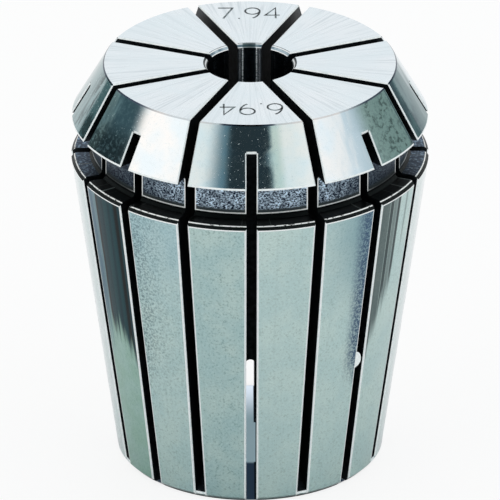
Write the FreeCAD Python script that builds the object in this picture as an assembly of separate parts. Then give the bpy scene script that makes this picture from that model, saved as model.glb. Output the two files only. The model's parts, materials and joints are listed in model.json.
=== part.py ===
import FreeCAD, Part
import math
import os
from collections import namedtuple

# Double-angle spring collet for a tool holder, 5/16 inch bore.
# One turned, slit and ground steel piece. Millimetres, +Z up.
# The origin is the centre of the rear face, and +Z is the bore's axis towards the marked front face.

# Overall length and the long seat that wedges in the holder
COLLET_LENGTH = 39.2
SEAT_D = 33.0
SEAT_HALF_ANGLE = 8.0
SHOULDER_CHAMFER = 0.38
REAR_EDGE_CHAMFER = 0.5

# Short front cone that the clamping nut presses on. Its base stays a little inside the seat's radius.
NUT_CONE_SET_IN = 0.1
NUT_CONE_HEIGHT = 5.07
NUT_CONE_HALF_ANGLE = 30.0
NUT_CONE_LAND = 0.2
FACE_EDGE_BREAK = 0.12

# Groove that the nut's eccentric ring snaps into, its depth taken from the seat's radius
GROOVE_WIDTH = 3.59
GROOVE_DEPTH = 1.9
GROOVE_CORNER = 0.25

# Clamping bore
BORE_D = 7.9375
BORE_FRONT_CHAMFER = 0.35
BORE_REAR_CHAMFER = 0.4

# Slots, cut from both ends in turn, each by a disc saw fed along the collet.
# A slot ends in the arc of its saw. The bridge is what the saw leaves at the outer surface.
SLOTS_EACH_END = 8
SLOT_WIDTH = 0.95
SLOT_EDGE_BREAK = 0.12
FRONT_SLOT_BRIDGE = 0.6
FRONT_SAW_RADIUS = 31.5
FRONT_SAW_OVERCUT = 6.4
REAR_SLOT_BRIDGE = 2.23
REAR_SAW_RADIUS = 50.0
REAR_SAW_OVERCUT = 0.25

# How far the cutters stand out of the steel
CUTTER_MARGIN = 2.0

# Heights and radii that follow from the sizes above
PITCH = 360.0 / SLOTS_EACH_END
SEAT_R = SEAT_D / 2
NECK_R = SEAT_R - GROOVE_DEPTH
NUT_CONE_R = SEAT_R - NUT_CONE_SET_IN
BORE_R = BORE_D / 2
CONE_BASE_Z = COLLET_LENGTH - NUT_CONE_HEIGHT
GROOVE_TOP_Z = CONE_BASE_Z - NUT_CONE_LAND
SHOULDER_Z = GROOVE_TOP_Z - GROOVE_WIDTH
SEAT_TOP_Z = SHOULDER_Z - SHOULDER_CHAMFER
SEAT_TAPER = math.tan(math.radians(SEAT_HALF_ANGLE))
NUT_TAPER = math.tan(math.radians(NUT_CONE_HALF_ANGLE))

# A slot by the point of the outer surface where it ends, the saw that cuts it, how far the saw's rim
# reaches past the bore's wall, and the way it is fed: +1 from the rear face, -1 from the front face
Slot = namedtuple("Slot", "end_r end_z saw_radius overcut feed")


def seat_radius(z):
    """Radius of the long seat at a height."""
    return SEAT_R - SEAT_TAPER * (SEAT_TOP_Z - z)


def nut_cone_radius(z):
    """Radius of the front cone at a height."""
    return NUT_CONE_R - NUT_TAPER * (z - CONE_BASE_Z)


def at(r, z):
    """A point of the half section."""
    return FreeCAD.Vector(r, 0, z)


def line(a, b):
    return Part.LineSegment(a, b).toShape()


def chain(points):
    return [line(a, b) for a, b in zip(points, points[1:])]


def turned_blank():
    """The collet before it is slit: its half section turned about the bore's axis."""
    seat_start_z = REAR_EDGE_CHAMFER
    face_edge_z = COLLET_LENGTH - FACE_EDGE_BREAK
    outline = chain([
        at(BORE_R + BORE_REAR_CHAMFER, 0),
        at(seat_radius(seat_start_z) - REAR_EDGE_CHAMFER, 0),
        at(seat_radius(seat_start_z), seat_start_z),
        at(SEAT_R, SEAT_TOP_Z),
        at(SEAT_R - SHOULDER_CHAMFER, SHOULDER_Z),
        at(NECK_R + GROOVE_CORNER, SHOULDER_Z),
        at(NECK_R, SHOULDER_Z + GROOVE_CORNER),
        at(NECK_R, GROOVE_TOP_Z - GROOVE_CORNER),
        at(NECK_R + GROOVE_CORNER, GROOVE_TOP_Z),
        at(NUT_CONE_R, GROOVE_TOP_Z),
        at(NUT_CONE_R, CONE_BASE_Z),
        at(nut_cone_radius(face_edge_z), face_edge_z),
        at(nut_cone_radius(face_edge_z) - FACE_EDGE_BREAK, COLLET_LENGTH),
        at(BORE_R + BORE_FRONT_CHAMFER, COLLET_LENGTH),
        at(BORE_R, COLLET_LENGTH - BORE_FRONT_CHAMFER),
        at(BORE_R, BORE_REAR_CHAMFER),
        at(BORE_R + BORE_REAR_CHAMFER, 0),
    ])
    section = Part.Face(Part.Wire(outline))
    return section.revolve(FreeCAD.Vector(0, 0, 0), FreeCAD.Vector(0, 0, 1), 360)


def turned(shape, angle):
    """A copy turned about the bore's axis. A slot at angle 0 faces -Y."""
    copy = shape.copy()
    copy.rotate(FreeCAD.Vector(0, 0, 0), FreeCAD.Vector(0, 0, 1), angle - 90)
    return copy


def slot_end_z(slot, r):
    """Height at which a slot ends at a radius: the arc that its saw leaves."""
    centre_r = BORE_R - slot.overcut + slot.saw_radius
    rise_at_end = math.sqrt(slot.saw_radius ** 2 - (centre_r - slot.end_r) ** 2)
    rise = math.sqrt(slot.saw_radius ** 2 - (centre_r - r) ** 2)
    return slot.end_z + slot.feed * (rise - rise_at_end)


def slot_plate(outline):
    """A closed outline in the slot's plane, made as thick as the slot is wide."""
    face = Part.Face(Part.Wire(outline))
    face.translate(FreeCAD.Vector(0, -SLOT_WIDTH / 2, 0))
    return face.extrude(FreeCAD.Vector(0, SLOT_WIDTH, 0))


def saw_cut(slot):
    """The space that the saw clears, from the face where it goes in to the arc where it stops."""
    inner_r = BORE_R - slot.overcut
    outer_r = SEAT_R + CUTTER_MARGIN
    start_z = -CUTTER_MARGIN if slot.feed > 0 else COLLET_LENGTH + CUTTER_MARGIN
    arc_points = [at(r, slot_end_z(slot, r)) for r in (inner_r, (inner_r + outer_r) / 2, outer_r)]
    sides = chain([arc_points[2], at(outer_r, start_z), at(inner_r, start_z), arc_points[0]])
    return slot_plate([Part.Arc(*arc_points).toShape()] + sides)


def end_edge_break(slot, growth):
    """A wedge that takes the burr off the end of a slot. Growth is the surface's radius per height."""
    depth_r = slot.end_r - SLOT_EDGE_BREAK
    clear_r = slot.end_r + SLOT_EDGE_BREAK
    past_end = slot.feed * SLOT_EDGE_BREAK
    clear_z = slot.end_z - 2 * past_end
    corners = [
        at(depth_r, slot_end_z(slot, depth_r)),
        at(depth_r, clear_z),
        at(clear_r, clear_z),
        at(clear_r, slot.end_z + past_end),
        at(slot.end_r + growth * past_end, slot.end_z + past_end),
    ]
    return slot_plate(chain(corners + corners[:1]))


def edge_break(start, end):
    """A V cutter that takes the burr off both edges of a slot along one line of the surface.

    The line runs the way the half section is drawn: up the outside, then inwards over the front face.
    """
    along = end.sub(start)
    way = FreeCAD.Vector(along).normalize()
    outward = FreeCAD.Vector(way.z, 0, -way.x) * SLOT_EDGE_BREAK
    narrow = FreeCAD.Vector(0, SLOT_WIDTH / 2, 0)
    wide = FreeCAD.Vector(0, SLOT_WIDTH / 2 + 2 * SLOT_EDGE_BREAK, 0)
    corners = [
        start - outward - narrow,
        start + outward - wide,
        start + outward + wide,
        start - outward + narrow,
    ]
    return Part.Face(Part.makePolygon(corners + corners[:1])).extrude(along)


def seat_edge_break(bottom_z):
    """Edge break up the long seat, from a height to past the shoulder."""
    top_z = SHOULDER_Z + SLOT_EDGE_BREAK
    return edge_break(at(seat_radius(bottom_z), bottom_z), at(seat_radius(top_z), top_z))


def nut_cone_edge_break(top_z):
    """Edge break up the front cone, from just under it to a height."""
    bottom_z = CONE_BASE_Z - SLOT_EDGE_BREAK
    return edge_break(at(nut_cone_radius(bottom_z), bottom_z), at(nut_cone_radius(top_z), top_z))


def front_slot_cutters():
    """A slot cut from the front face, which leaves a thin bridge at the rear."""
    face_z = COLLET_LENGTH
    end_z = FRONT_SLOT_BRIDGE
    slot = Slot(seat_radius(end_z), end_z, FRONT_SAW_RADIUS, FRONT_SAW_OVERCUT, -1)
    return [
        saw_cut(slot),
        end_edge_break(slot, SEAT_TAPER),
        seat_edge_break(end_z),
        nut_cone_edge_break(face_z + SLOT_EDGE_BREAK),
        edge_break(at(nut_cone_radius(face_z), face_z), at(BORE_R / 2, face_z)),
    ]


def rear_slot_cutters():
    """A slot cut from the rear face, which leaves a bridge at the front and ends on the front cone."""
    end_z = COLLET_LENGTH - REAR_SLOT_BRIDGE
    slot = Slot(nut_cone_radius(end_z), end_z, REAR_SAW_RADIUS, REAR_SAW_OVERCUT, 1)
    return [
        saw_cut(slot),
        end_edge_break(slot, -NUT_TAPER),
        seat_edge_break(-SLOT_EDGE_BREAK),
        nut_cone_edge_break(end_z),
        edge_break(at(BORE_R / 2, 0), at(seat_radius(0), 0)),
    ]


def collet():
    """The finished collet, one solid."""
    shape = turned_blank()
    for index in range(SLOTS_EACH_END):
        for tool in rear_slot_cutters():
            shape = shape.cut(turned(tool, PITCH * index))
        for tool in front_slot_cutters():
            shape = shape.cut(turned(tool, PITCH * (index + 0.5)))
    return shape.removeSplitter().Solids[0]


def main():
    os.makedirs("parts", exist_ok=True)
    solid = collet()
    solid.exportStep("parts/collet.step")
    print("collet", "valid", solid.isValid(), "volume", round(solid.Volume, 1), "faces", len(solid.Faces))


main()
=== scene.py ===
import json
import math

import bmesh
import bpy
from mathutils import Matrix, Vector


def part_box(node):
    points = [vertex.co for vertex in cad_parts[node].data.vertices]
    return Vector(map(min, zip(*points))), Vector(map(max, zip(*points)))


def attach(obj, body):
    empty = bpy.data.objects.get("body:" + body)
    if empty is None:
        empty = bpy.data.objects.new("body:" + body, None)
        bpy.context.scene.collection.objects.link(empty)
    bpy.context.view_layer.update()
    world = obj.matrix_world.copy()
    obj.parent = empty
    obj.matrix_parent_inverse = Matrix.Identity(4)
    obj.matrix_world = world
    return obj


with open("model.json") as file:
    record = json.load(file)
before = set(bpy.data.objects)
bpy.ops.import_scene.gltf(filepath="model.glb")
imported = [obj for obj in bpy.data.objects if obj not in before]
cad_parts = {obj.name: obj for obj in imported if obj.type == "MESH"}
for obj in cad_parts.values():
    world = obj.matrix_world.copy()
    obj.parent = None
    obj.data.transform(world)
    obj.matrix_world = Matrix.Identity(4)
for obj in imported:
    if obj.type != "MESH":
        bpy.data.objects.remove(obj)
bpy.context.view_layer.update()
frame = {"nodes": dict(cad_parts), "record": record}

# A millimetre, and how near a corner of the mesh lies to the surface that it belongs to

MM = 0.001
FIT = 0.02 * MM

COLLET = frame["nodes"]["collet"]
MOUNTS = {mount["name"]: mount for mount in frame["record"]["mounts"]}


def radius_at(z):
    """Largest radius of the collet's mesh at a height, in metres."""
    near = [v.co for v in COLLET.data.vertices if abs(v.co.z - z) < FIT]
    return max(math.hypot(co.x, co.y) for co in near)


# The collet's sizes, from the frame where it has them

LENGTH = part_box("collet")[1].z
BORE_R = MOUNTS["clamping_bore"]["dims"]["r_mm"] * MM
SEAT_TOP_Z = MOUNTS["holder_seat"]["pos_m"][2]
CONE_BASE_Z = MOUNTS["nut_cone"]["pos_m"][2]
SEAT_R = radius_at(SEAT_TOP_Z)
CONE_R = radius_at(CONE_BASE_Z)
SEAT_TAPER = math.tan(math.radians(8))
CONE_TAPER = math.tan(math.radians(30))
GROOVE_MIDDLE_Z = MOUNTS["nut_groove"]["pos_m"][2]
GROOVE_HALF_WIDTH = 1.795 * MM
GROOVE_DEPTH = 1.9 * MM
GROOVE_BOTTOM_Z = GROOVE_MIDDLE_Z - GROOVE_HALF_WIDTH
NECK_R = SEAT_R - GROOVE_DEPTH
SLOTS_ROUND = 16
SLOT_HALF_WIDTH = 0.475 * MM

# A plain colour, and the height of the finest bumps

WHITE = (1, 1, 1)
RELIEF = 0.01 * MM


def slot_azimuth(count):
    """Azimuth of a slot in degrees. Slot 0 faces the camera, and the counting goes to the right."""
    return count * 360 / SLOTS_ROUND


# Small helpers for node materials. Their lengths are millimetres and their angles degrees.

class Graph:
    """A node tree with short calls to add and join nodes."""

    def __init__(self, tree):
        self.tree = tree
        self.nodes = tree.nodes
        self.nodes.clear()

    def add(self, kind, settings=None, **inputs):
        """A new node. An input is called by its name, or by i and its number."""
        node = self.nodes.new(kind)
        for name, value in (settings or {}).items():
            setattr(node, name, value)
        for name, value in inputs.items():
            numbered = name[0] == "i" and name[1:].isdigit()
            self.put(node.inputs[int(name[1:]) if numbered else name.replace("_", " ")], value)
        return node

    def put(self, socket, value):
        """Give a socket a value, a colour of three numbers, or a link."""
        if isinstance(value, bpy.types.NodeSocket):
            self.tree.links.new(value, socket)
        elif isinstance(value, bpy.types.Node):
            self.tree.links.new(value.outputs[0], socket)
        elif socket.type == "RGBA":
            socket.default_value = (*value, 1)
        else:
            socket.default_value = value

    def math(self, operation, *values):
        node = self.nodes.new("ShaderNodeMath")
        node.operation = operation
        for socket, value in zip(node.inputs, values):
            self.put(socket, value)
        return node.outputs[0]

    def chain(self, operation, values):
        """One operation over several values in turn."""
        result = values[0]
        for value in values[1:]:
            result = self.math(operation, result, value)
        return result

    def times(self, *values):
        return self.chain("MULTIPLY", values)

    def plus(self, *values):
        return self.chain("ADD", values)

    def most(self, *values):
        return self.chain("MAXIMUM", values)

    def line(self, value, slope, at_zero):
        """A straight line over a value."""
        return self.math("MULTIPLY_ADD", value, slope, at_zero)

    def smooth(self, value, low, high, to_low=0.0, to_high=1.0):
        """A soft step: to_low below low, to_high above high."""
        node = self.add("ShaderNodeMapRange", {"interpolation_type": "SMOOTHSTEP"}, Value=value,
                        From_Min=low, From_Max=high, To_Min=to_low, To_Max=to_high)
        return node.outputs[0]

    def fall(self, value, low, high):
        """A soft step down: one below low, zero above high."""
        return self.smooth(value, low, high, 1.0, 0.0)

    def step(self, value, middle, blur, to_low=0.0, to_high=1.0):
        """A soft step about a middle."""
        return self.smooth(value, middle - blur, middle + blur, to_low, to_high)

    def between(self, value, low, high, blur, high_blur=None):
        """One inside the range, zero outside it, with soft ends."""
        end_blur = blur if high_blur is None else high_blur
        return self.times(self.step(value, low, blur), self.step(value, high, end_blur, 1.0, 0.0))

    def mix(self, factor, a, b):
        node = self.add("ShaderNodeMix", {"data_type": "RGBA"})
        self.put(node.inputs[0], factor)
        self.put(node.inputs[6], a)
        self.put(node.inputs[7], b)
        return node.outputs[2]

    def over(self, tone, color, *shares):
        """A colour laid over a tone, as far as the product of its shares says."""
        return self.mix(self.times(*shares), tone, color)

    def combine(self, x, y, z):
        return self.add("ShaderNodeCombineXYZ", X=x, Y=y, Z=z).outputs[0]

    def noise(self, vector, scale, detail=2.0, roughness=0.5):
        node = self.add("ShaderNodeTexNoise", Vector=vector, Scale=scale, Detail=detail,
                        Roughness=roughness)
        return node.outputs["Fac"]


def new_material(name):
    material = bpy.data.materials.new(name)
    material.use_nodes = True
    return material, Graph(material.node_tree)


class Polar:
    """Object coordinates, and round the bore's axis the radius, the unit direction and the azimuth."""

    def __init__(self, graph):
        self.graph = graph
        coords = graph.add("ShaderNodeTexCoord").outputs["Object"]
        scaled = graph.add("ShaderNodeVectorMath", {"operation": "SCALE"}, i0=coords, Scale=1 / MM)
        self.point = scaled.outputs[0]
        self.x, self.y, self.z = graph.add("ShaderNodeSeparateXYZ", i0=self.point).outputs
        flat = graph.combine(self.x, self.y, 0.0)
        self.r = graph.add("ShaderNodeVectorMath", {"operation": "LENGTH"}, i0=flat).outputs["Value"]
        unit = graph.add("ShaderNodeVectorMath", {"operation": "NORMALIZE"}, i0=flat).outputs[0]
        self.unit_x, self.unit_y, _ = graph.add("ShaderNodeSeparateXYZ", i0=unit).outputs
        turn = graph.math("ARCTAN2", self.unit_x, graph.math("MULTIPLY", self.unit_y, -1.0))
        self.azimuth = graph.math("DEGREES", turn)

    def direction_and(self, third, fineness, third_fineness):
        """Coordinates made of the direction from the axis and a third value."""
        x = self.graph.times(self.unit_x, fineness)
        y = self.graph.times(self.unit_y, fineness)
        return self.graph.combine(x, y, self.graph.times(third, third_fineness))

    def round_axis(self, fineness, height_fineness):
        """Coordinates whose noise makes streaks along the collet, or rings round it."""
        return self.direction_and(self.z, fineness, height_fineness)

    def rays(self, fineness, radius_fineness):
        """Coordinates whose noise makes rays on the end faces."""
        return self.direction_and(self.r, fineness, radius_fineness)

    def sector(self, low, high, blur):
        """One between two azimuths."""
        return self.graph.between(self.azimuth, low, high, blur)

    def finger(self, first_slot, blur):
        """One on the finger between a slot and the next one to its right."""
        return self.sector(slot_azimuth(first_slot), slot_azimuth(first_slot + 1), blur)

    def waves(self, count):
        """A wave with this many crests round the axis, one of them in front."""
        return self.graph.math("COSINE", self.graph.math("RADIANS", self.graph.times(self.azimuth, count)))

    def beside_slot(self, low, high, blur=0.04):
        """One where the wall of the nearest slot is this far away, zero elsewhere."""
        angle = self.graph.math("ARCTAN2", self.unit_x, self.unit_y)
        aside = self.graph.math("PINGPONG", angle, math.pi / SLOTS_ROUND)
        offset = self.graph.times(self.r, self.graph.math("SINE", aside))
        wall = SLOT_HALF_WIDTH / MM
        return self.graph.between(offset, wall + low, wall + high, blur)


def steel_shader(graph, color, roughness, anisotropic=0.0, bumps=(), metallic=1.0):
    """A steel surface. Its cutting marks run round the axis, so its highlights stretch across them."""
    shader = graph.add("ShaderNodeBsdfPrincipled", Base_Color=color, Roughness=roughness)
    graph.put(shader.inputs["Metallic"], metallic)
    if anisotropic:
        shader.inputs["Anisotropic"].default_value = anisotropic
        shader.inputs["Anisotropic Rotation"].default_value = 0.25
        tangent = graph.add("ShaderNodeTangent", {"direction_type": "RADIAL", "axis": "Z"})
        graph.put(shader.inputs["Tangent"], tangent)
    normal = None
    for height, strength, distance in bumps:
        bump = graph.add("ShaderNodeBump", Height=height, Strength=strength, Distance=distance)
        if normal is not None:
            graph.put(bump.inputs["Normal"], normal)
        normal = bump.outputs[0]
    if normal is not None:
        graph.put(shader.inputs["Normal"], normal)
    graph.add("ShaderNodeOutputMaterial", Surface=shader)


def painted_highlight_metal(graph, painted_highlight, left=0.2):
    """Metal, apart from where a highlight is painted: there it scatters light and shows pale from
    everywhere.
    """
    return graph.smooth(painted_highlight, 0.0, 1.0, 1.0, left)


# Materials of the steel, one for each way its surfaces were finished, with light and shade painted into
# several

def ground_seat():
    """Satin ground steel with a green-blue cast, clouded, with fine pits and painted highlights along its
    edges.

    Two fingers carry a painted dark, streaked reflection over their upper half.
    """
    material, graph = new_material("ground_seat")
    polar = Polar(graph)
    clouds = graph.noise(polar.point, 0.32, 5.0, 0.6)
    pits = graph.noise(polar.point, 4.8, 3.0, 0.65)
    rings = graph.noise(polar.round_axis(1.0, 14.0), 1.0, 2.0)
    tone = seat_before_reflections(graph, polar, clouds, pits)
    # Painted dark reflections over the upper half of several fingers
    tone = painted_seat_reflections(graph, polar, tone, pits)
    top = SEAT_TOP_Z / MM
    top_edge = graph.smooth(polar.z, top - 0.15, top - 0.09)
    # Painted highlights: a white line along the seat's top edge and beside each slot, barely metallic
    # there
    painted_highlight = graph.most(top_edge, polar.beside_slot(-0.025, 0.17))
    tone = graph.over(tone, WHITE, painted_highlight)
    # Painted shade: near black at the foot, where the seat meets the floor
    tone = graph.over(tone, (0.01, 0.014, 0.016), graph.fall(polar.z, 0.16, 0.26))
    rough = graph.plus(graph.smooth(pits, 0.3, 0.7, 0.13, 0.20), graph.smooth(clouds, 0.4, 0.7, 0.0, 0.04))
    bumps = [(rings, 0.10, RELIEF), (pits, 0.15, RELIEF)]
    steel_shader(graph, tone, rough, 0.5, bumps, painted_highlight_metal(graph, painted_highlight))
    return material


def seat_before_reflections(graph, polar, clouds, pits):
    """The seat before its painted reflections: clouds, streaks, pits, the cast of each finger, paler
    sides, and a painted sheen seen edge-on.
    """
    streaks = graph.noise(polar.round_axis(60.0, 0.06), 1.0, 3.0)
    tone = graph.mix(graph.smooth(clouds, 0.36, 0.66), (0.405, 0.56, 0.56), (0.485, 0.62, 0.595))
    tone = graph.over(tone, (0.30, 0.42, 0.42), graph.smooth(streaks, 0.52, 0.75), 0.25)
    tone = graph.over(tone, (0.20, 0.29, 0.28), graph.smooth(pits, 0.53, 0.67), 0.58)
    tone = graph.over(tone, (0.66, 0.78, 0.76), graph.fall(pits, 0.32, 0.44), 0.30)
    paler = graph.most(graph.step(polar.azimuth, slot_azimuth(0), 1.0, 0.0, 0.25),
                       graph.step(polar.azimuth, slot_azimuth(-1), 1.0, 0.16, 0.0))
    tone = graph.over(tone, (0.75, 0.88, 0.84), paler)
    cool = graph.times(graph.smooth(polar.azimuth, 24.0, 40.0, 0.25, 1.0),
                       graph.smooth(polar.z, 17.0, 28.0))
    tone = graph.over(tone, (0.19, 0.33, 0.38), polar.finger(1, 0.5), cool, 0.76)
    tone = graph.over(tone, (0.27, 0.47, 0.58), polar.finger(-2, 0.5),
                      graph.smooth(polar.z, 18.0, 29.0), 0.32)
    greenish = graph.smooth(clouds, 0.34, 0.60, 0.40, 0.65)
    tone = graph.over(tone, (0.20, 0.38, 0.28), polar.finger(-3, 0.5), greenish)
    # Painted sheen: the colour turns nearly white where the seat is seen edge-on
    grazing = graph.add("ShaderNodeLayerWeight", Blend=0.5).outputs["Facing"]
    return graph.over(tone, (0.93, 0.95, 0.96), graph.smooth(grazing, 0.66, 0.95, 0.0, 0.9))


def painted_seat_reflections(graph, polar, tone, pits):
    """The seat's painted dark reflections: streaked along the fingers, each with a ragged foot."""
    lines = graph.noise(graph.combine(polar.azimuth, graph.times(polar.z, 0.03), 0.0), 0.42, 5.0, 0.65)
    ragged = graph.noise(graph.combine(polar.azimuth, 7.0, 0.0), 0.5, 3.0)
    height = graph.plus(polar.z, graph.smooth(ragged, 0.25, 0.75, -1.6, 1.6))
    tone = left_finger_reflection(graph, polar, tone, lines, height)
    mottled = graph.times(graph.step(polar.azimuth, slot_azimuth(-2), 0.2),
                          graph.step(polar.azimuth, slot_azimuth(-1), 0.5, 1.0, 0.0),
                          graph.smooth(polar.azimuth, -44.0, -28.0, 1.0, 0.15),
                          graph.smooth(height, 9.0, 17.0), graph.smooth(pits, 0.42, 0.60))
    tone = graph.over(tone, (0.09, 0.14, 0.165), mottled, 0.65)
    tone = right_finger_reflection(graph, polar, tone, lines, height)
    rim = graph.times(graph.smooth(polar.azimuth, 35.0, 41.0),
                      graph.step(polar.azimuth, slot_azimuth(2), 0.2, 1.0, 0.0),
                      graph.smooth(height, 11.0, 15.0), graph.smooth(pits, 0.42, 0.54, 0.45, 1.0))
    return graph.over(tone, (0.055, 0.10, 0.175), rim, 0.95)


def left_finger_reflection(graph, polar, tone, lines, height):
    """The painted dark reflection on the finger to the left: two black lines, a foot that falls to the
    right, and a blue side.
    """
    blue_side = -60.8
    above_foot = graph.math("SUBTRACT", height, graph.line(polar.azimuth, -0.25, 2.0))
    dark = graph.mix(graph.smooth(lines, 0.42, 0.62), (0.004, 0.042, 0.054), (0.0, 0.020, 0.032))
    dark = graph.over(dark, (0.0, 0.0, 0.003), polar.sector(blue_side, -59.4, 0.2))
    dark = graph.over(dark, (0.0, 0.0, 0.002), polar.sector(-50.4, -48.6, 0.5))
    tone = graph.over(tone, dark, polar.sector(blue_side, slot_azimuth(-2), 0.3),
                      graph.smooth(above_foot, -1.4, 1.4), 0.98)
    bluish = graph.times(polar.sector(slot_azimuth(-3), blue_side, 0.4), graph.smooth(height, 12.0, 19.0),
                         graph.smooth(lines, 0.36, 0.60, 0.75, 1.0))
    return graph.over(tone, (0.045, 0.105, 0.175), bluish, 0.94)


def right_finger_reflection(graph, polar, tone, lines, height):
    """The painted dark reflection on the finger to the right: stripes of several depths, with a foot that
    rises to the right.
    """
    stripes = graph.times(polar.sector(slot_azimuth(2), 51.3, 0.4), 0.84)
    for low, high, depth in ((51.3, 53.2, 1.0), (53.2, 55.3, 0.66), (55.3, 57.0, 0.94), (60.5, 61.6, 0.5)):
        stripes = graph.most(stripes, graph.times(polar.sector(low, high, 0.35), depth))
    above_foot = graph.math("SUBTRACT", height, graph.line(polar.azimuth, 0.9, -41.4))
    return graph.over(tone, (0.0, 0.010, 0.014), stripes, graph.smooth(above_foot, 11.0, 14.5),
                      graph.smooth(lines, 0.40, 0.60, 0.90, 1.0))


def polished_cone():
    """Bright ground cone: nearly a mirror, with faint warm and cool tints, specks, and painted shade and
    reflections on its sides.
    """
    material, graph = new_material("polished_cone")
    polar = Polar(graph)
    clouds = graph.noise(polar.point, 0.22, 3.0, 0.5)
    mottle = graph.noise(polar.point, 2.6, 4.0, 0.65)
    rings = graph.noise(polar.round_axis(1.0, 10.0), 1.0, 2.0)
    along = graph.combine(graph.times(polar.azimuth, 0.30), graph.times(polar.z, 0.25), 0.0)
    streaks = graph.noise(along, 1.0, 4.0)
    drift = graph.plus(polar.azimuth, graph.smooth(streaks, 0.3, 0.7, -3.0, 3.0))
    # The left side's painted shade, darkest in its lower corner by the groove
    shaded_left = polar.sector(-67.0, -46.0, 3.0)
    corner = graph.times(shaded_left, graph.fall(polar.z, 35.2, 37.4), graph.smooth(mottle, 0.36, 0.52, 0.4, 1.0))
    # A green-grey, rougher finger on the right
    green_grey_finger = polar.sector(45.5, slot_azimuth(3), 4.0)
    spots = cone_spots(graph, polar, clouds, corner)
    tone = graph.mix(graph.smooth(clouds, 0.40, 0.60), (0.80, 0.87, 0.90), (0.92, 0.89, 0.86))
    tone = graph.over(tone, (0.60, 0.70, 0.72), graph.smooth(mottle, 0.5, 0.75), 0.25)
    # Painted shade on the left side, then darker painted shade in its lower corner
    tone = graph.over(tone, (0.12, 0.19, 0.24), shaded_left, graph.smooth(drift, -66.0, -57.0),
                      graph.smooth(mottle, 0.30, 0.55, 0.75, 1.0), 0.88)
    tone = graph.over(tone, (0.04, 0.05, 0.055), corner, 0.85)
    # Painted reflection: a paler blue-grey over the right side of the cone
    tone = graph.over(tone, (0.57, 0.68, 0.735), graph.smooth(drift, 31.0, 41.0),
                      graph.fall(polar.azimuth, 100.0, 150.0), 0.8)
    tone = graph.over(tone, (0.44, 0.55, 0.485), green_grey_finger, 0.88)
    tone = graph.over(tone, (0.24, 0.33, 0.31), green_grey_finger, graph.smooth(mottle, 0.46, 0.60), 0.45)
    # Patches for the dark painted streaks on the far fingers
    patchy_shading = graph.times(graph.smooth(streaks, 0.44, 0.54), graph.smooth(mottle, 0.34, 0.52, 0.55, 1.0))
    tone = far_cone(graph, polar, tone, patchy_shading, drift)
    tone = cracked_cone(graph, polar, tone, mottle, drift)
    tone = graph.over(tone, (0.80, 0.88, 0.92), spots)
    tone = graph.over(tone, (0.03, 0.045, 0.075), face_edge_line(graph, polar))
    rough = graph.plus(graph.smooth(mottle, 0.35, 0.75, 0.06, 0.12), graph.times(spots, 0.40),
                       graph.times(green_grey_finger, 0.14))
    steel_shader(graph, tone, rough, 0.0, [(rings, 0.05, RELIEF), (mottle, 0.10, RELIEF)])
    return material


def cone_spots(graph, polar, clouds, corner):
    """Pale specks, thicker in some clouds, fewer in the painted shade of the corner and none on the right.
    """
    specks = graph.noise(polar.point, 5.4, 1.0, 0.5)
    return graph.times(graph.smooth(specks, 0.70, 0.74), graph.smooth(clouds, 0.40, 0.55, 0.20, 0.75),
                       graph.fall(polar.azimuth, 38.0, 44.0), graph.smooth(corner, 0.0, 1.0, 1.0, 0.35))


def far_cone(graph, polar, tone, patchy_shading, drift):
    """The fingers at both far sides of the cone: painted shade, with dark painted streaks."""
    left = polar.sector(-114.0, slot_azimuth(-3), 2.0)
    tone = graph.over(tone, (0.25, 0.36, 0.375), left, 0.92)
    tone = graph.over(tone, (0.03, 0.045, 0.05), left, patchy_shading, graph.smooth(drift, -86.0, -74.0), 0.85)
    right = polar.sector(slot_azimuth(3), 106.0, 2.0)
    tone = graph.over(tone, (0.14, 0.22, 0.23), right, graph.smooth(drift, 84.0, 96.0, 0.96, 0.0))
    return graph.over(tone, (0.05, 0.075, 0.10), right, patchy_shading, graph.fall(drift, 72.0, 86.0), 0.7)


def cracked_cone(graph, polar, tone, mottle, drift):
    """Fine cracks in the green-grey finger to the right, and a blue line beside the slot at its end."""
    ridges = graph.math("ABSOLUTE", graph.math("SUBTRACT", graph.noise(polar.point, 0.55, 5.0, 0.6), 0.5))
    cracks = graph.times(graph.fall(ridges, 0.0, 0.055), graph.smooth(mottle, 0.40, 0.56))
    tone = graph.over(tone, (0.06, 0.09, 0.085), graph.between(drift, 50.0, 64.0, 3.0), cracks, 0.75)
    line = polar.beside_slot(0.185, 0.325, 0.03)
    return graph.over(tone, (0.05, 0.07, 0.12), polar.sector(55.0, slot_azimuth(3), 1.0), line, 0.8)


def face_edge_line(graph, polar):
    """The dark line at the face's edge: strong at both sides and in the middle, weaker between."""
    sides = graph.smooth(graph.math("ABSOLUTE", polar.azimuth), 36.0, 52.0, 0.35, 0.95)
    strength = graph.most(sides, polar.sector(-12.5, 9.5, 2.0))
    top = LENGTH / MM
    return graph.times(graph.smooth(polar.z, top - 0.13, top - 0.11), strength)


def turned_face():
    """Faced end: pale, with fine rays where a wheel was drawn across it."""
    material, graph = new_material("turned_face")
    polar = Polar(graph)
    rays = graph.noise(polar.rays(44.0, 0.10), 1.0, 4.0, 0.75)
    clouds = graph.noise(polar.point, 0.18, 3.0, 0.6)
    lines = graph.times(graph.smooth(rays, 0.50, 0.60), graph.smooth(clouds, 0.38, 0.60, 0.35, 1.0))
    tone = graph.mix(graph.smooth(clouds, 0.35, 0.65), (0.66, 0.735, 0.775), (0.70, 0.755, 0.79))
    tone = graph.over(tone, (0.42, 0.49, 0.53), lines, 0.45)
    rings = graph.noise(graph.combine(graph.times(polar.r, 9.0), 0.0, 0.0), 1.0, 2.0)
    steel_shader(graph, tone, graph.smooth(rays, 0.3, 0.7, 0.26, 0.34), 0.0, [(rings, 0.06, RELIEF)])
    return material


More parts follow.
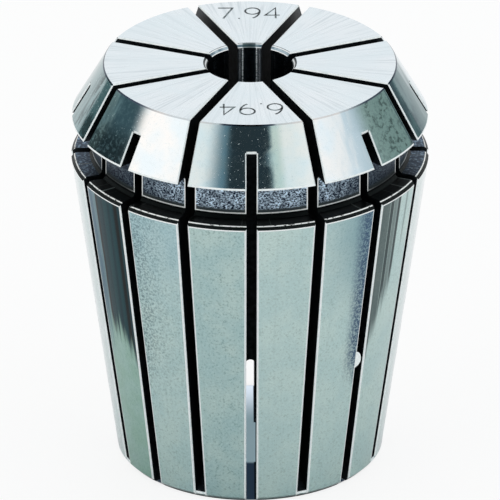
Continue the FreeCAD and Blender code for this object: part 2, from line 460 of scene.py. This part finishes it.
def rough_groove():
    """Turned groove that was never ground: sparkling and dark by turns, with painted shade and a painted
    highlight at its foot.
    """
    material, graph = new_material("rough_groove")
    polar = Polar(graph)
    foot = GROOVE_BOTTOM_Z / MM
    grain = graph.noise(polar.round_axis(80.0, 8.0), 1.0, 3.0, 0.75)
    patches = graph.noise(polar.point, 1.1, 3.0, 0.6)
    # Painted shade: the sparkle dims in three waves round the axis, with a crest in front
    three_waves = polar.waves(3)
    patchy_shading = graph.times(graph.smooth(patches, 0.38, 0.66, 0.45, 1.0),
                       graph.smooth(three_waves, -0.9, 0.3, 0.12, 1.0))
    speck = graph.mix(patchy_shading, (0.025, 0.04, 0.055), (0.66, 0.84, 1.0))
    tone = graph.mix(graph.smooth(grain, 0.44, 0.58), (0.005, 0.009, 0.024), speck)
    # Painted shade at the foot: a smooth dark band, and near black below the bright line
    tone = graph.over(tone, (0.055, 0.07, 0.075), graph.between(polar.z, foot + 0.45, foot + 0.85, 0.10))
    tone = graph.over(tone, (0.008, 0.010, 0.010), graph.fall(polar.z, foot + 0.40, foot + 0.46))
    # Painted highlights: a pale line along the foot, and pale lines beside the slots
    foot_line = graph.times(graph.between(polar.z, foot + 0.42, foot + 0.54, 0.03),
                            graph.smooth(three_waves, -0.95, -0.55, 0.15, 1.0),
                            graph.smooth(grain, 0.30, 0.50, 0.5, 1.0))
    above_foot = graph.smooth(polar.z, foot + 0.40, foot + 0.46)
    lit = graph.most(foot_line, graph.times(polar.beside_slot(-0.175, 0.10), above_foot))
    tone = graph.over(tone, (1.0, 1.0, 0.98), lit)
    rough = graph.smooth(grain, 0.3, 0.7, 0.5, 0.35)
    steel_shader(graph, tone, rough, 0.0, [(grain, 0.35, 5 * RELIEF)], painted_highlight_metal(graph, lit))
    return material


def sawn_slot():
    """Sawn slot walls, painted nearly black as shade in the narrow slots."""
    material, graph = new_material("sawn_slot")
    polar = Polar(graph)
    grain = graph.noise(polar.point, 2.0, 3.0)
    tone = graph.mix(graph.smooth(grain, 0.35, 0.65), (0.012, 0.016, 0.02), (0.03, 0.036, 0.042))
    steel_shader(graph, tone, 0.45, 0.0, [(grain, 0.2, 3 * RELIEF)], metallic=0.9)
    return material


def ground_bore():
    """The clamping bore: painted dark as shade in the hole, with painted highlight lines beside the slots
    at the back.
    """
    material, graph = new_material("ground_bore")
    polar = Polar(graph)
    mottle = graph.noise(graph.combine(polar.x, polar.y, graph.times(polar.z, 4.0)), 1.5, 3.0)
    # Painted shade: the bore's tone is kept dark
    tone = graph.mix(graph.smooth(mottle, 0.3, 0.7), (0.07, 0.095, 0.12), (0.11, 0.14, 0.17))
    eight_waves = polar.waves(SLOTS_ROUND / 2)
    at_back = graph.smooth(polar.unit_y, 0.80, 0.95, 0.12, 1.0)
    # Painted highlights: pale lines beside the slots, strongest at the back
    lines = graph.times(polar.beside_slot(0.105, 0.225, 0.03), graph.smooth(mottle, 0.36, 0.52, 0.35, 1.0),
                        graph.smooth(eight_waves, -0.2, 0.2, 0.3, 1.0), at_back)
    tone = graph.over(tone, (0.97, 0.99, 1.0), lines)
    rough = graph.smooth(mottle, 0.3, 0.7, 0.18, 0.26)
    steel_shader(graph, tone, rough, 0.4, metallic=painted_highlight_metal(graph, lines, 0.1))
    return material


def bore_mouth():
    """The chamfer at the bore's mouth: blue-grey between two thin painted highlights, painted black as
    shade at both sides.
    """
    material, graph = new_material("bore_mouth")
    polar = Polar(graph)
    mottle = graph.noise(polar.point, 1.2, 2.0)
    tone = graph.mix(graph.smooth(mottle, 0.40, 0.60), (0.12, 0.18, 0.22), (0.36, 0.45, 0.50))
    back_slot = graph.times(graph.between(polar.x, -0.65, 0.55, 0.06), graph.smooth(polar.y, 0.0, 1.0))
    tone = graph.over(tone, (0.05, 0.09, 0.10), back_slot, 0.85)
    from_wall = graph.math("SUBTRACT", polar.r, BORE_R / MM)
    # Painted shade at the left and right sides; painted highlights on the two rims and a crescent
    sides = graph.smooth(graph.math("ABSOLUTE", polar.unit_x), 0.88, 0.93)
    rims = graph.most(graph.fall(from_wall, 0.04, 0.07), graph.between(from_wall, 0.24, 0.31, 0.02))
    rims = graph.times(rims, graph.smooth(back_slot, 0.0, 1.0, 1.0, 0.25), graph.fall(sides, 0.0, 1.0))
    crescent = graph.times(sides, graph.between(from_wall, 0.07, 0.19, 0.02), 0.8)
    rims = graph.most(rims, crescent)
    tone = graph.over(tone, (0.01, 0.014, 0.016), sides, 0.95)
    tone = graph.over(tone, WHITE, rims)
    tone = graph.over(tone, (0.05, 0.08, 0.09), graph.smooth(from_wall, 0.31, 0.34))
    steel_shader(graph, tone, 0.3, metallic=painted_highlight_metal(graph, rims))
    return material


def bright_edge():
    """Edge breaks and chamfers, painted pale as highlights that show from everywhere."""
    material, graph = new_material("bright_edge")
    polar = Polar(graph)
    nicks = graph.noise(polar.point, 2.5, 3.0)
    tone = graph.mix(graph.smooth(nicks, 0.45, 0.75), (0.98, 1.0, 1.0), (0.80, 0.87, 0.87))
    steel_shader(graph, tone, graph.smooth(nicks, 0.3, 0.7, 0.35, 0.5), metallic=0.25)
    return material


def lathe_ledge():
    """Groove walls and shoulder chamfer, painted near black as shade, with a painted highlight on the
    corner between.

    Towards the back they show blue, with pale grains.
    """
    material, graph = new_material("lathe_ledge")
    polar = Polar(graph)
    shoulder = GROOVE_BOTTOM_Z / MM
    rings = graph.noise(graph.combine(graph.times(polar.r, 5.0), polar.unit_x, polar.unit_y), 1.0, 2.0)
    nicks = graph.noise(polar.round_axis(40.0, 6.0), 1.0, 3.0, 0.6)
    grains = graph.noise(polar.point, 3.5, 3.0, 0.7)
    # Painted shade: the groove's walls are kept near black
    tone = graph.mix(graph.smooth(rings, 0.3, 0.7), (0.006, 0.008, 0.009), (0.016, 0.02, 0.021))
    blue = graph.mix(graph.smooth(grains, 0.48, 0.66), (0.020, 0.042, 0.075), (0.20, 0.30, 0.40))
    tone = graph.over(tone, blue, graph.smooth(polar.unit_y, -0.44, -0.28))
    tone = graph.over(tone, (0.35, 0.40, 0.38), graph.smooth(nicks, 0.62, 0.72))
    # Painted shade: the shoulder chamfer below the groove is near black
    tone = graph.over(tone, (0.012, 0.015, 0.015), graph.fall(polar.z, shoulder - 0.03, shoulder - 0.02))
    # Painted highlight: a pale line near the chamfer's top corner
    corner = graph.times(graph.between(polar.z, shoulder - 0.135, shoulder - 0.055, 0.01),
                         graph.smooth(nicks, 0.34, 0.46))
    tone = graph.over(tone, (1.0, 1.0, 0.98), corner)
    steel_shader(graph, tone, 0.40, metallic=painted_highlight_metal(graph, corner))
    return material


def engraved_mark():
    """Blackened strokes, with pale wear in places."""
    material, graph = new_material("engraved_mark")
    polar = Polar(graph)
    wear = graph.noise(polar.point, 1.3, 3.0, 0.6)
    tone = graph.mix(graph.smooth(wear, 0.46, 0.62), (0.02, 0.03, 0.035), (0.20, 0.25, 0.26))
    steel_shader(graph, tone, 0.6, metallic=0.3)
    return material


# Which surface of the collet a face of its mesh belongs to

REGIONS = {
    "seat": ground_seat(),
    "cone": polished_cone(),
    "face": turned_face(),
    "groove": rough_groove(),
    "slot": sawn_slot(),
    "bore": ground_bore(),
    "mouth": bore_mouth(),
    "edge": bright_edge(),
    "ledge": lathe_ledge(),
}

# How far the small surfaces reach, and how closely a normal keeps to a direction that it faces

REAR_CHAMFER_REACH = 0.6 * MM
FACE_EDGE_REACH = 0.15 * MM
MOUTH_REACH = 0.4 * MM
EDGE_BREAK_REACH = 0.5 * MM
LEDGE_REACH = 1.0 * MM
ALIGNED = 0.9


def outer_radius(z):
    """Radius of the ground outside at a height: the seat, and the cone above the groove."""
    if z < GROOVE_MIDDLE_Z:
        return SEAT_R - SEAT_TAPER * (SEAT_TOP_Z - z)
    return CONE_R - CONE_TAPER * (z - CONE_BASE_Z)


def slot_wall(polygon):
    """Whether a face looks across the slot next to it, as the slot's two walls do."""
    pitch = 2 * math.pi / SLOTS_ROUND
    angle = round(math.atan2(polygon.center.x, -polygon.center.y) / pitch) * pitch
    return abs(polygon.normal.dot(Vector((math.cos(angle), math.sin(angle), 0)))) > ALIGNED


def region_of(polygon, corners):
    """The name of a face's surface. All its corners have to lie on that surface."""
    places = [(math.hypot(co.x, co.y), co.z) for co in corners]
    depths = [outer_radius(z) - r for r, z in places]
    in_groove = all(abs(z - GROOVE_MIDDLE_Z) < GROOVE_HALF_WIDTH + FIT for _, z in places)
    far_out = all(r > SEAT_R / 2 for r, _ in places)
    level = abs(polygon.normal.z) > ALIGNED
    if all(abs(r - BORE_R) < FIT for r, _ in places):
        return "bore"
    if all(z > LENGTH - FIT for _, z in places) or all(z < FIT for _, z in places):
        return "face"
    if not in_groove and all(abs(depth) < FIT for depth in depths):
        return "seat" if polygon.center.z < GROOVE_MIDDLE_Z else "cone"
    if slot_wall(polygon):
        return "slot"
    if in_groove and all(r > NECK_R - FIT for r, _ in places):
        return "ledge" if level else "groove"
    if all(SEAT_TOP_Z - FIT < z < GROOVE_MIDDLE_Z for _, z in places) and max(depths) < LEDGE_REACH:
        return "ledge"
    if far_out and all(z < REAR_CHAMFER_REACH for _, z in places):
        return "seat"
    if far_out and not level and all(z > LENGTH - FACE_EDGE_REACH for _, z in places):
        return "cone"
    if all(z > LENGTH - MOUTH_REACH and r < BORE_R + MOUTH_REACH for r, z in places):
        return "mouth"
    at_chamfer = all(min(z, LENGTH - z) < REAR_CHAMFER_REACH for _, z in places)
    if at_chamfer or max(depths) < EDGE_BREAK_REACH:
        return "edge"
    return "slot"


def dress_collet():
    mesh = COLLET.data
    mesh.materials.clear()
    order = list(REGIONS)
    for name in order:
        mesh.materials.append(REGIONS[name])
    for polygon in mesh.polygons:
        corners = [mesh.vertices[index].co for index in polygon.vertices]
        polygon.material_index = order.index(region_of(polygon, corners))


dress_collet()


def add_piece(name, mesh, material):
    """Make a steel piece of the collet from a bmesh."""
    bmesh.ops.recalc_face_normals(mesh, faces=mesh.faces)
    data = bpy.data.meshes.new(name)
    mesh.to_mesh(data)
    mesh.free()
    data.materials.append(material)
    piece = bpy.data.objects.new(name, data)
    bpy.context.scene.collection.objects.link(piece)
    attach(piece, "root")


# Plain numbers on the front face: the largest and the smallest shank, in millimetres

MARK_HEIGHT = 2.3 * MM
MARK_WIDTH = 1.35 * MM
MARK_GAP = 0.5 * MM
MARK_STROKE = 0.18 * MM
MARK_SUNK = 0.01 * MM
MARK_PROUD = 0.008 * MM
FAR_MARK_Y = 10.8 * MM
NEAR_MARK_Y = -10.1 * MM
POINT_WIDTH = 0.12
ARC_STEP = 15
SHARPEST_MITRE = 0.5


def arc(x, y, across, up, start, end):
    """Points along part of an ellipse, in shares of a digit's width and height."""
    steps = max(2, round(abs(end - start) / ARC_STEP))
    angles = [math.radians(start + (end - start) * step / steps) for step in range(steps + 1)]
    return [(x + across * math.cos(angle), y + up * math.sin(angle)) for angle in angles]


def digit_strokes(digit):
    """The strokes of a digit in a box of width 1 and height 1, or of the decimal point."""
    if digit == "4":
        return [[(0.72, 0.0), (0.72, 1.0), (0.0, 0.3), (1.0, 0.3)]]
    if digit == "7":
        return [[(0.0, 1.0), (1.0, 1.0), (0.35, 0.0)]]
    if digit == "9":
        return [arc(0.5, 0.7, 0.5, 0.3, 0, 345), [(1.0, 0.7)] + arc(0.3, 0.7, 0.7, 0.7, -12, -72)]
    if digit == "6":
        return [[(1 - x, 1 - y) for x, y in stroke] for stroke in digit_strokes("9")]
    return [[(0.0, 0.0), (POINT_WIDTH, 0.0)]]


def number_strokes(number):
    """All the strokes of a number in metres, centred on the origin."""
    widths = [POINT_WIDTH * MARK_WIDTH if digit == "." else MARK_WIDTH for digit in number]
    left = -(sum(widths) + MARK_GAP * (len(number) - 1)) / 2
    strokes = []
    for digit, width in zip(number, widths):
        for stroke in digit_strokes(digit):
            strokes.append([(left + x * MARK_WIDTH, (y - 0.5) * MARK_HEIGHT) for x, y in stroke])
        left += width + MARK_GAP
    return strokes


def stroke_sides(points):
    """The two sides of a stroke of the marks' width along a line of points."""
    lines = [Vector(point) for point in points]
    sides = []
    for index, point in enumerate(lines):
        before = (point - lines[index - 1]).normalized() if index else None
        after = (lines[index + 1] - point).normalized() if index + 1 < len(lines) else None
        ways = [way for way in (before, after) if way is not None]
        normal = sum((Vector((-way.y, way.x)) for way in ways), Vector((0, 0))).normalized()
        reach = MARK_STROKE / 2 / max(SHARPEST_MITRE, normal.dot(Vector((-ways[0].y, ways[0].x))))
        sides.append((point + normal * reach, point - normal * reach))
    return sides


def make_mark(name, number, centre_y, turned):
    """A number laid on the front face as thin closed strokes."""
    mesh = bmesh.new()
    way = -1 if turned else 1
    for stroke in number_strokes(number):
        rings = []
        for left, right in stroke_sides(stroke):
            corners = [(left, -MARK_SUNK), (right, -MARK_SUNK), (right, MARK_PROUD), (left, MARK_PROUD)]
            places = [(way * p.x, centre_y + way * p.y, LENGTH + rise) for p, rise in corners]
            rings.append([mesh.verts.new(place) for place in places])
        for ring, following in zip(rings, rings[1:]):
            for side in range(4):
                after = (side + 1) % 4
                mesh.faces.new((ring[side], ring[after], following[after], following[side]))
        mesh.faces.new(rings[0])
        mesh.faces.new(reversed(rings[-1]))
    add_piece(name, mesh, engraved_mark())


make_mark("size_mark_far", "7.94", FAR_MARK_Y, False)
make_mark("size_mark_near", "6.94", NEAR_MARK_Y, True)


# A burr left on the edge of one slot, flush with the seat, in the edges' pale painted highlight colour

BURR_AZIMUTH = math.radians(slot_azimuth(2))
BURR_Z = 13.45 * MM
BURR_ABOVE = 1.1 * MM
BURR_BELOW = 0.62 * MM
BURR_REACH = 0.84 * MM
BURR_ROOT = -0.58 * MM
BURR_DEPTH = 0.13 * MM
BURR_THICK = 0.16 * MM
BURR_THINNED = 0.7
BURR_STEPS = 20


def make_burr():
    """A half-round leaf of steel, rooted in the slot's left wall and thinner towards its free edge."""
    outward = Vector((math.sin(BURR_AZIMUTH), -math.cos(BURR_AZIMUTH), 0))
    across = Vector((math.cos(BURR_AZIMUTH), math.sin(BURR_AZIMUTH), 0))
    mesh = bmesh.new()
    front = []
    back = []
    for step in range(BURR_STEPS + 1):
        angle = math.pi * (step / BURR_STEPS - 0.5)
        z = BURR_Z + math.sin(angle) * (BURR_ABOVE if angle > 0 else BURR_BELOW)
        place = across * (BURR_ROOT + BURR_REACH * math.cos(angle)) + Vector((0, 0, z))
        surface = outer_radius(z) - BURR_DEPTH
        thickness = BURR_THICK * (1 - BURR_THINNED * math.cos(angle))
        front.append(mesh.verts.new(place + outward * surface))
        back.append(mesh.verts.new(place + outward * (surface - thickness)))
    mesh.faces.new(front)
    mesh.faces.new(reversed(back))
    for index in range(BURR_STEPS + 1):
        after = (index + 1) % (BURR_STEPS + 1)
        mesh.faces.new((front[index], back[index], back[after], front[after]))
    bmesh.ops.triangulate(mesh, faces=[face for face in mesh.faces if len(face.verts) > 4])
    add_piece("slot_burr", mesh, REGIONS["edge"])


make_burr()


# Floor, surroundings and camera. The foot is the place that the rear face covers.

FLOOR_HALF = 1.5
FOOT_R = 11.8 * MM
FOOT_BLUR = 0.1 * MM
PAPER = (0.93, 0.93, 0.93)
CAMERA_DISTANCE = 1.0135
CAMERA_ELEVATION = math.radians(26.0)
CAMERA_AZIMUTH = math.radians(-0.54)
CAMERA_TARGET = Vector((0, 0, 19.99 * MM))
CAMERA_REACH = 20
FOCAL_PIXELS = 10925.0
PICTURE_PIXELS = 500


def painted_floor_under_foot(graph, polar):
    """Painted shade on the floor inside the collet's foot: navy in front, paler to the back, and a dark
    strip.

    It comes as the colour, white outside the foot, and the strip's share; the strip paints a slot wall's
    shade.
    """
    color = graph.mix(graph.smooth(polar.y, -4.5, -3.9), (0.016, 0.030, 0.052), (0.215, 0.305, 0.345))
    color = graph.over(color, (0.78, 0.88, 1.0), graph.smooth(polar.y, 4.2, 12.6))
    color = graph.over(color, WHITE, graph.step(polar.r, FOOT_R / MM, FOOT_BLUR / MM))
    # The dark strip is painted shade, as a slot's wall casts it
    slant = graph.math("SUBTRACT", polar.x, graph.times(polar.y, 0.0055))
    strip = graph.times(graph.between(slant, 0.35, 0.90, 0.03), graph.between(polar.r, 4.1, 11.7, 0.1))
    return graph.over(color, (0.005, 0.008, 0.012), strip), strip


def floor_material():
    """White to the camera outside the foot, but for the collet's shadow, and glowing with painted shade
    inside the foot.

    The steel reflects the same white from far off, and the plain lit floor near by.
    """
    material, graph = new_material("floor_white")
    polar = Polar(graph)
    paint = graph.add("ShaderNodeBsdfDiffuse", Color=PAPER)
    color, strip = painted_floor_under_foot(graph, polar)
    glow = graph.add("ShaderNodeEmission", Color=color, Strength=1.0)
    path = graph.add("ShaderNodeLightPath").outputs
    reflected = graph.times(graph.most(path["Is Glossy Ray"], path["Is Transmission Ray"]),
                            graph.smooth(polar.r, 40.0, 90.0))
    seen = graph.most(path["Is Camera Ray"], reflected)
    outside = graph.step(polar.r, FOOT_R / MM, FOOT_BLUR / MM, 0.0, 0.85)
    # Inside the foot the floor glows to the camera with painted shade
    under = graph.step(polar.r, FOOT_R / MM, FOOT_BLUR / MM, 0.95, 0.0)
    share = graph.times(seen, graph.most(outside, under, strip))
    lit = graph.add("ShaderNodeMixShader", i0=share, i1=paint, i2=glow)
    clear = graph.add("ShaderNodeBsdfTransparent")
    below = graph.add("ShaderNodeNewGeometry").outputs["Backfacing"]
    floor = graph.add("ShaderNodeMixShader", i0=below, i1=lit, i2=clear)
    graph.add("ShaderNodeOutputMaterial", Surface=floor)
    return material


def make_floor():
    """A square floor, wider than the camera sees."""
    corners = [(x * FLOOR_HALF, y * FLOOR_HALF, 0) for x, y in ((-1, -1), (1, -1), (1, 1), (-1, 1))]
    mesh = bpy.data.meshes.new("floor")
    mesh.from_pydata(corners, [], [(0, 1, 2, 3)])
    floor = bpy.data.objects.new("floor", mesh)
    bpy.context.scene.collection.objects.link(floor)
    mesh.materials.append(floor_material())


def make_world():
    """A white studio: bright all round, a dark gap in front where the camera stands, dim low sides."""
    world = bpy.data.worlds.new("studio")
    bpy.context.scene.world = world
    world.use_nodes = True
    graph = Graph(world.node_tree)
    direction = graph.add("ShaderNodeTexCoord").outputs["Generated"]
    x, y, z = graph.add("ShaderNodeSeparateXYZ", i0=direction).outputs
    azimuth = graph.math("DEGREES", graph.math("ARCTAN2", x, graph.math("MULTIPLY", y, -1.0)))

    def card(low, high, blur, high_blur=None):
        """One between two azimuths."""
        return graph.between(azimuth, low, high, blur, high_blur)

    def above(elevation, blur):
        """One above an elevation."""
        low = math.sin(math.radians(elevation - blur))
        high = math.sin(math.radians(elevation + blur))
        return graph.smooth(z, low, high)

    def below(elevation, blur):
        """One below an elevation."""
        return graph.math("SUBTRACT", 1.0, above(elevation, blur))

    gap_foot = above(27.0, 2.0)
    cards = [
        # Pale grey-blue over the whole front, and low on the right
        ((0.66, 0.76, 0.77), card(-46.0, 44.0, 15.0), below(70.0, 8.0), 0.85),
        ((0.68, 0.78, 0.84), card(50.0, 100.0, 14.0), below(30.0, 9.0), 0.8),
        # The gap: a greenish right edge, then dark blue, then nearly black
        ((0.40, 0.56, 0.52), card(12.0, 23.0, 1.5, 3.5), below(73.0, 6.0), gap_foot, 0.75),
        ((0.10, 0.19, 0.235), card(-27.0, 15.8, 8.0, 1.5), below(73.0, 6.0), gap_foot),
        ((0.016, 0.03, 0.038), card(-17.0, 14.8, 3.0, 1.5), below(75.0, 6.0), gap_foot),
        # Dim low sides
        ((0.15, 0.24, 0.25), card(-142.0, -88.0, 4.0, 8.0), below(24.0, 8.0)),
        ((0.29, 0.385, 0.40), card(84.0, 142.0, 16.0, 6.0), below(24.0, 8.0)),
    ]
    light = WHITE
    for color, *shares in cards:
        light = graph.over(light, color, *shares)
    to_camera = graph.add("ShaderNodeLightPath").outputs["Is Camera Ray"]
    seen = graph.mix(to_camera, light, WHITE)
    strength = graph.smooth(to_camera, 0.0, 1.0, 1.1, 1.0)
    background = graph.add("ShaderNodeBackground", Color=seen, Strength=strength)
    graph.add("ShaderNodeOutputWorld", Surface=background)


def make_camera():
    """The photograph's view, fitted to the edges of the collet."""
    camera = bpy.data.objects.new("camera", bpy.data.cameras.new("camera"))
    bpy.context.scene.collection.objects.link(camera)
    camera.data.lens = FOCAL_PIXELS / PICTURE_PIXELS * camera.data.sensor_width
    level = math.cos(CAMERA_ELEVATION)
    x = math.sin(CAMERA_AZIMUTH) * level
    y = -math.cos(CAMERA_AZIMUTH) * level
    back = Vector((x, y, math.sin(CAMERA_ELEVATION)))
    camera.location = CAMERA_TARGET + back * CAMERA_DISTANCE
    camera.rotation_mode = "QUATERNION"
    camera.rotation_quaternion = (-back).to_track_quat("-Z", "Y")
    camera.data.clip_end = CAMERA_REACH
    bpy.context.scene.camera = camera


make_floor()
make_world()
make_camera()
bpy.context.scene.view_settings.view_transform = "Standard"
